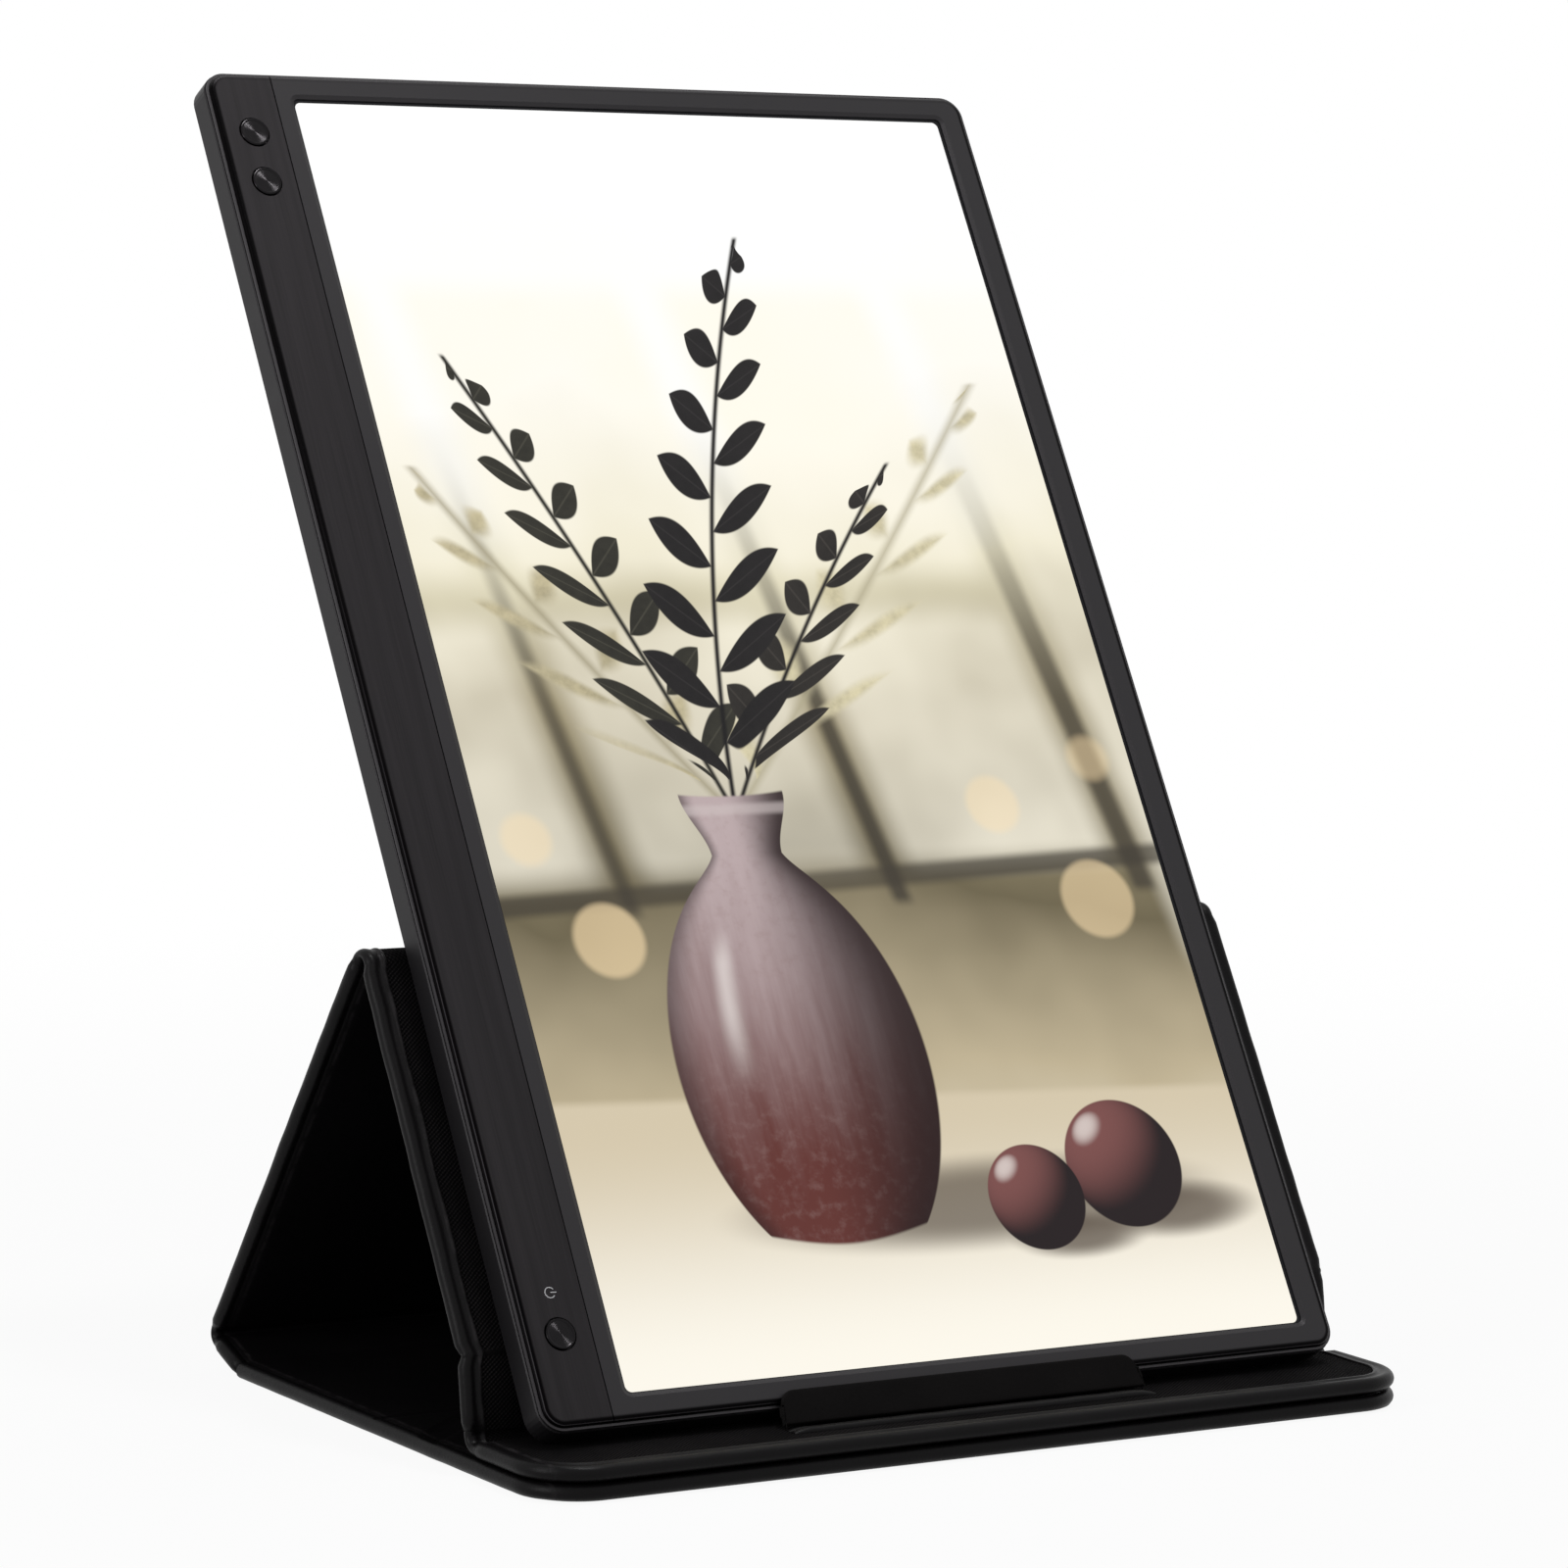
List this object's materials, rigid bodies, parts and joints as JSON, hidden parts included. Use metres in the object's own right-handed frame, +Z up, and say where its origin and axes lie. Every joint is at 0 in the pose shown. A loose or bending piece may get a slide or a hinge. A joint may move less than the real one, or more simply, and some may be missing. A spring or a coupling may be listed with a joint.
{
  "type": "portable monitor with cover",
  "caption": "Slim portable monitor standing upright on a folding magnetic leather cover, with a tray, a stop lip, a brushed control strip and push buttons.",
  "frame": {"origin": "middle of the whole object's footprint, on the surface it stands on", "axes": "+Z up, -Y to the front where the screen faces, +Y to the rear; X runs along the cover's folds, -X is the control strip's side"},
  "size_m": [0.2486, 0.2122, 0.3203],
  "materials": {
    "dark_anodised": "satin dark grey anodising",
    "brushed_dark": "hairline brushed along its length, dark anodising",
    "dark_anodised_back": "fine satin dark anodising",
    "display_glass": "flat anti-glare front",
    "film": "translucent film",
    "clear_acrylic": "polished clear sheet",
    "white_film": "white reflector",
    "lamp": "lamp bar with yellow phosphor",
    "white_moulding": "moulded white plastic",
    "plate_metal": "plain rolled sheet",
    "circuit_board": "green solder mask",
    "flex": "amber flexible circuit",
    "pressed_steel": "plain pressed steel",
    "ribbon": "flat ribbon cable",
    "switch_plastic": "small moulded switch",
    "port_steel": "folded bright steel",
    "button_metal": "turned rings, dark anodising",
    "leather": "fine grained black, low sheen",
    "leather_fold": "soft black leather and lining, no board inside",
    "twill": "black diagonal twill",
    "suede": "black suede",
    "greyboard": "pressed grey bookbinding board",
    "magnet": "plated magnet bar"
  },
  "bodies": {
    "floor": {"floor_leather": "leather", "floor_lining": "twill", "floor_board_front": "greyboard", "floor_board_rear": "greyboard", "floor_magnets": "magnet", "floor_fold": "leather_fold"},
    "spine": {"spine_leather": "leather", "spine_lining": "twill", "spine_board": "greyboard", "spine_fold": "leather_fold"},
    "rear_panel": {"rear_leather": "leather", "rear_lining": "twill", "rear_board": "greyboard", "apex_fold": "leather_fold"},
    "front_panel": {"front_leather": "leather", "front_lining": "twill", "front_board": "greyboard", "front_magnets": "magnet", "strip_fold": "leather_fold"},
    "strip": {"lower_strip": "leather", "tray_fold": "leather_fold"},
    "tray": {"tray_leather": "leather", "tray_lining": "twill", "tray_board": "greyboard", "tray_magnets": "magnet", "lip_welt": "leather"},
    "lip": {"stop_lip": "suede", "lip_stiffener": "greyboard"},
    "monitor": {"front_bezel": "dark_anodised", "control_strip": "brushed_dark", "rear_shell": "dark_anodised_back", "lcd_cell": "display_glass", "optical_films": "film", "light_guide": "clear_acrylic", "reflector_sheet": "white_film", "lamp_bar": "lamp", "display_frame": "white_moulding", "display_plate": "plate_metal", "display_driver_board": "circuit_board", "display_flexes": "flex", "main_board": "circuit_board", "board_shield": "pressed_steel", "board_screws": "pressed_steel", "display_cable": "ribbon", "button_board": "circuit_board", "tactile_switches": "switch_plastic", "usb_c_port": "port_steel", "keeper_plates": "pressed_steel"},
    "power_key": {"power_button": "button_metal"},
    "upper_key": {"upper_button": "button_metal"},
    "lower_key": {"lower_button": "button_metal"}
  },
  "joints": [
    {"name": "spine_tilt", "type": "hinge", "parent": "floor", "child": "spine", "pos_m": [0, 0.04818, 0.0044], "axis": [-1, 0, 0], "range_deg": [0, 20.7], "deforming": ["floor_fold"]},
    {"name": "leg_fold", "type": "hinge", "parent": "spine", "child": "rear_panel", "pos_m": [0, 0.06034, 0.00899], "axis": [-1, 0, 0], "range_deg": [0, 104], "deforming": ["spine_fold"]},
    {"name": "apex_open", "type": "hinge", "parent": "rear_panel", "child": "front_panel", "pos_m": [0, -0.01113, 0.1091], "axis": [-1, 0, 0], "range_deg": [0, 110], "deforming": ["apex_fold"]},
    {"name": "strip_bend", "type": "hinge", "parent": "front_panel", "child": "strip", "pos_m": [0, -0.06254, 0.02625], "axis": [-1, 0, 0], "range_deg": [0, 22], "deforming": ["strip_fold"]},
    {"name": "tray_open", "type": "hinge", "parent": "strip", "child": "tray", "pos_m": [0, -0.07113, 0.0104], "axis": [1, 0, 0], "range_deg": [0, 81], "deforming": ["tray_fold"]},
    {"name": "lip_flip", "type": "hinge", "parent": "tray", "child": "lip", "pos_m": [0, -0.09035, 0.0089], "axis": [1, 0, 0], "range_deg": [0, 90]},
    {"name": "monitor_lift", "type": "slide", "parent": "front_panel", "child": "monitor", "axis": [0, 0.515, 0.8572], "range_m": [0, 0.12]},
    {"name": "power_press", "type": "slide", "parent": "monitor", "child": "power_key", "axis": [0, 0.8572, -0.515], "range_m": [0, 0.0004], "stiffness_N_per_m": 2000, "springref_m": -0.0004},
    {"name": "upper_press", "type": "slide", "parent": "monitor", "child": "upper_key", "axis": [0, 0.8572, -0.515], "range_m": [0, 0.0004], "stiffness_N_per_m": 2000, "springref_m": -0.0004},
    {"name": "lower_press", "type": "slide", "parent": "monitor", "child": "lower_key", "axis": [0, 0.8572, -0.515], "range_m": [0, 0.0004], "stiffness_N_per_m": 2000, "springref_m": -0.0004}
  ],
  "couplings": [
    {"joint": "spine_tilt", "follows": "leg_fold", "ratio": 0.198},
    {"joint": "strip_bend", "follows": "apex_open", "ratio": 0.199},
    {"joint": "tray_open", "follows": "apex_open", "ratio": 0.73}
  ]
}
